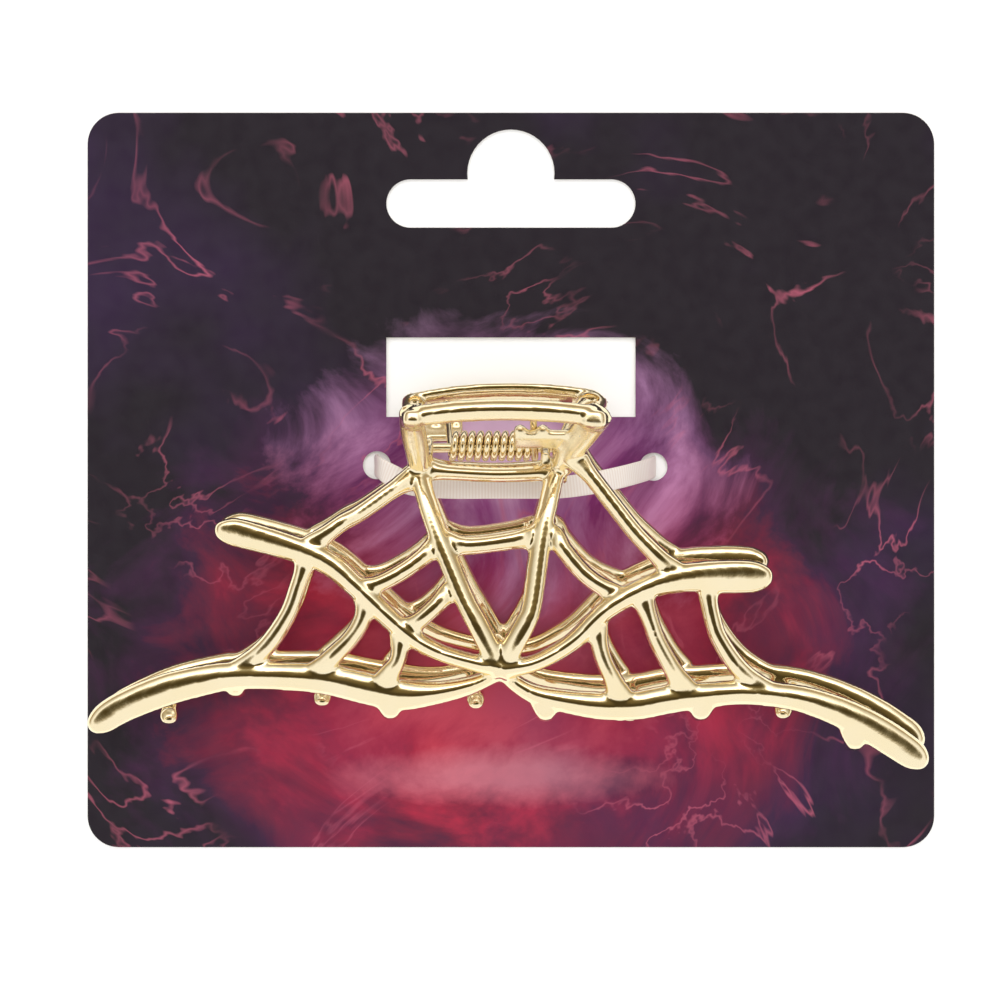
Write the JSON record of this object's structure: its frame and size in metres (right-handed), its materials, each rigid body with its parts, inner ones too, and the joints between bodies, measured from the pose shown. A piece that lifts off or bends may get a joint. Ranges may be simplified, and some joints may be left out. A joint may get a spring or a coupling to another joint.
{
  "type": "hair claw clip on display card",
  "caption": "Openwork metal hair claw shaped like a cobweb, with a sprung hinge, strapped flat to a hang card.",
  "frame": {"origin": "middle of the card on its back face", "axes": "+X to the right along the card's width, +Y up the card towards the hang slot, +Z out of the card's front"},
  "size_m": [0.1086, 0.0944, 0.0298],
  "materials": {
    "gold_casting": "polished pale gold plating over a zinc casting",
    "gold_pin": "polished pale gold plating",
    "gold_wire": "polished pale gold plating over spring steel",
    "clear_strap": "ribbed, translucent",
    "printed_card": "smooth coated print, a soft gradient of dark violet and crimson"
  },
  "bodies": {
    "card_and_back_jaw": {"card": "printed_card", "strap": "clear_strap", "back_jaw": "gold_casting", "hinge_pin": "gold_pin", "spring": "gold_wire"},
    "lifting_jaw": {"front_jaw": "gold_casting"}
  },
  "joints": [
    {"name": "jaw_hinge", "type": "hinge", "parent": "card_and_back_jaw", "child": "lifting_jaw", "pos_m": [-0.0013, 0.004, 0.0148], "axis": [-1, 0, 0], "range_deg": [0, 60], "stiffness_Nm_per_rad": 0.06, "springref_deg": -57.3, "deforming": ["spring"]}
  ]
}
